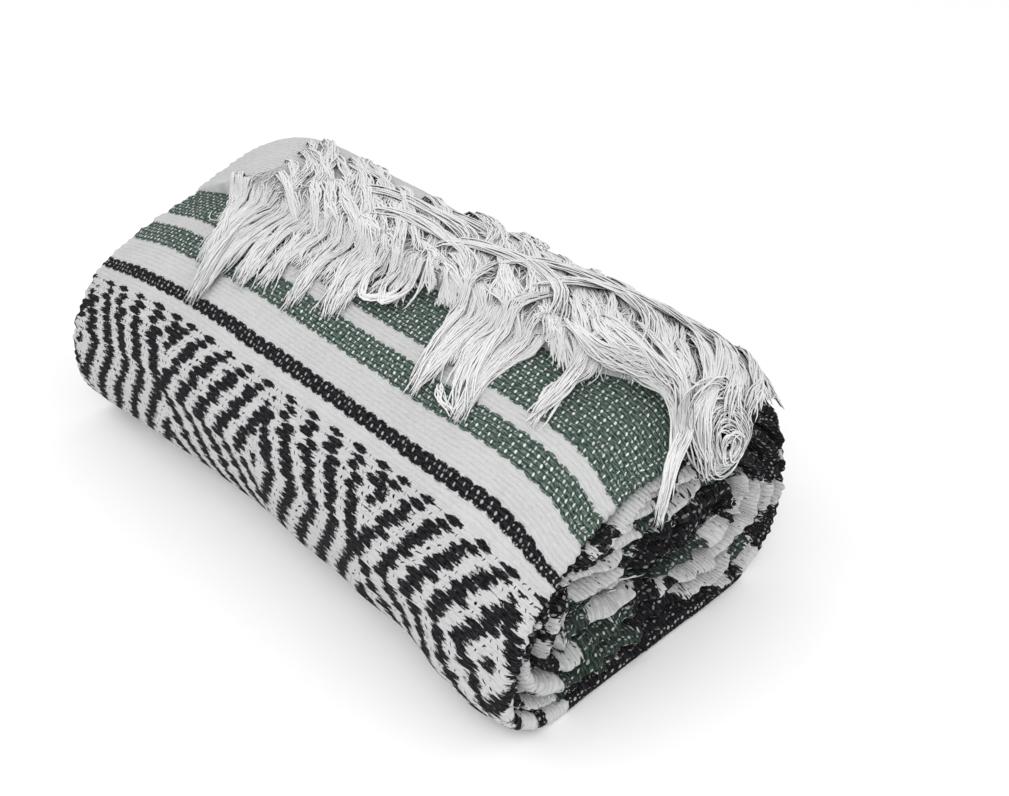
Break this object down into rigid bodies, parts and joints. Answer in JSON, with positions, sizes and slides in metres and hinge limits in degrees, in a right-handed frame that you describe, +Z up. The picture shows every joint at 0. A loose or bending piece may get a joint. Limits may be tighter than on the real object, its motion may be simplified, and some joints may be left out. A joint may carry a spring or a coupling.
{
  "type": "rolled mexican serape blanket",
  "caption": "Rolled cotton serape blanket lying on its side, with green, black and white woven stripes, a diamond band and loose white fringe over the roll.",
  "frame": {"origin": "centre of the roll's footprint, on the surface that it lies on", "axes": "+X along the roll towards the end with the hanging tuft, -Y the front that the fringe falls over, +Z up"},
  "size_m": [0.4384, 0.2405, 0.1657],
  "materials": {
    "woven_cloth": "thick matt handwoven cotton, striped muted green, near-black and white",
    "rolled_layers": "the same cloth seen on its rolled edges, puffy and matt",
    "cotton_fringe": "loose unspun white cotton warp ends, matt"
  },
  "bodies": {
    "root": {"rolled_core": "rolled_layers", "outer_turn": "woven_cloth", "fringe_far": "cotton_fringe", "fringe_far_middle": "cotton_fringe", "fringe_middle": "cotton_fringe", "fringe_near_middle": "cotton_fringe", "fringe_near": "cotton_fringe", "fringe_end_tuft": "cotton_fringe"}
  },
  "joints": []
}
